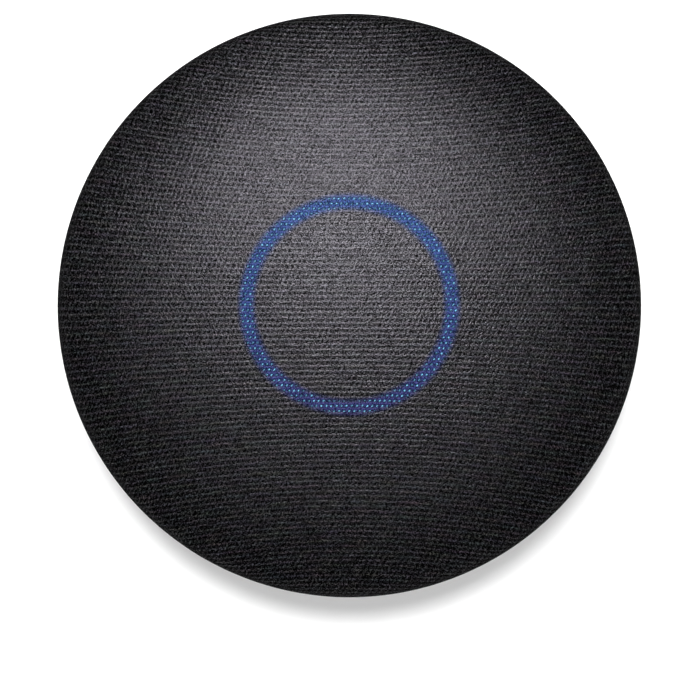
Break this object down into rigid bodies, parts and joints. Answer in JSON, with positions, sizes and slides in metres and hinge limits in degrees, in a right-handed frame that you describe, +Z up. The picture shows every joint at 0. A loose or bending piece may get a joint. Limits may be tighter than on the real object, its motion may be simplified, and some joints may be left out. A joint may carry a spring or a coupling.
{
  "type": "smart speaker",
  "caption": "Low round smart speaker with a domed, cloth-covered front, a glowing light ring behind the cloth, a tapered black base, a rear power socket and a sliding mute switch.",
  "frame": {"origin": "centre of the face of the rubber foot that the speaker rests on", "axes": "+Z up through the dome, +Y towards the rear bay with the socket and the switch, +X to the right seen from the front"},
  "size_m": [0.16, 0.16, 0.046],
  "materials": {
    "cover_cloth": "black knitted speaker cloth",
    "black_plastic": "black moulded plastic",
    "light_diffuser": "opal light guide, lit blue",
    "white_plastic": "white moulded plastic",
    "led_package": "light package",
    "circuit_board": "green solder mask",
    "screw_steel": "zinc plated",
    "metal_can": "tinned sheet",
    "seal_rubber": "soft black rubber",
    "foam_seal": "closed-cell foam",
    "base_plastic": "fine textured black",
    "foot_rubber": "matt dark grey rubber",
    "chip_black": "moulded chip package",
    "thermal_pad": "soft grey pad",
    "heat_sink": "extruded, plain",
    "capacitor_can": "bright can",
    "aerial_brass": "stamped strip",
    "driver_frame": "black pressed steel",
    "motor_steel": "zinc plated",
    "magnet": "dark ferrite",
    "coil_wire": "enamelled winding",
    "cone": "polypropylene",
    "spider_cloth": "treated cloth",
    "terminal_strip": "fibre board",
    "lead_jacket": "insulated wire",
    "ribbon": "flat flexible cable",
    "socket_steel": "nickel plated",
    "knob_plastic": "dark grey plastic",
    "button_plastic": "dark grey plastic"
  },
  "bodies": {
    "base": {"aerials": "aerial_brass", "base_housing": "base_plastic", "board_chips": "chip_black", "board_screws": "screw_steel", "capacitors": "capacitor_can", "case_screws": "screw_steel", "centre_grille": "black_plastic", "chassis": "black_plastic", "driver_basket": "driver_frame", "driver_gasket": "foam_seal", "driver_screws": "screw_steel", "fabric_cover": "cover_cloth", "grille_shell": "black_plastic", "heat_sink": "heat_sink", "light_cup": "white_plastic", "light_guide": "light_diffuser", "magnet": "magnet", "main_board": "circuit_board", "mic_boots": "seal_rubber", "microphones": "metal_can", "processor": "chip_black", "reset_switch": "metal_can", "ribbon_cable": "ribbon", "ribbon_sockets": "white_plastic", "ring_board": "circuit_board", "ring_board_screws": "screw_steel", "ring_leds": "led_package", "rubber_foot": "foot_rubber", "seal_ring": "foam_seal", "shield_can": "metal_can", "socket_shell": "socket_steel", "socket_tongue": "chip_black", "speaker_header": "white_plastic", "speaker_leads": "lead_jacket", "spider": "spider_cloth", "surround": "seal_rubber", "switch_body": "metal_can", "terminal_strip": "terminal_strip", "thermal_pad": "thermal_pad", "top_plate": "motor_steel", "yoke": "motor_steel"},
    "cone": {"cone": "cone", "dust_cap": "cone", "voice_coil": "coil_wire"},
    "mute": {"mute_knob": "knob_plastic"},
    "reset": {"reset_button": "button_plastic", "reset_nub": "knob_plastic"}
  },
  "joints": [
    {"name": "cone_travel", "type": "slide", "parent": "base", "child": "cone", "axis": [0, 0, 1], "range_m": [-0.002, 0.002], "stiffness_N_per_m": 1500, "deforming": ["surround", "spider"]},
    {"name": "mute_switch", "type": "slide", "parent": "base", "child": "mute", "axis": [1, 0, 0], "range_m": [0, 0.0025]},
    {"name": "reset_press", "type": "slide", "parent": "base", "child": "reset", "axis": [0, 0, 1], "range_m": [0, 0.0005], "stiffness_N_per_m": 1200}
  ]
}
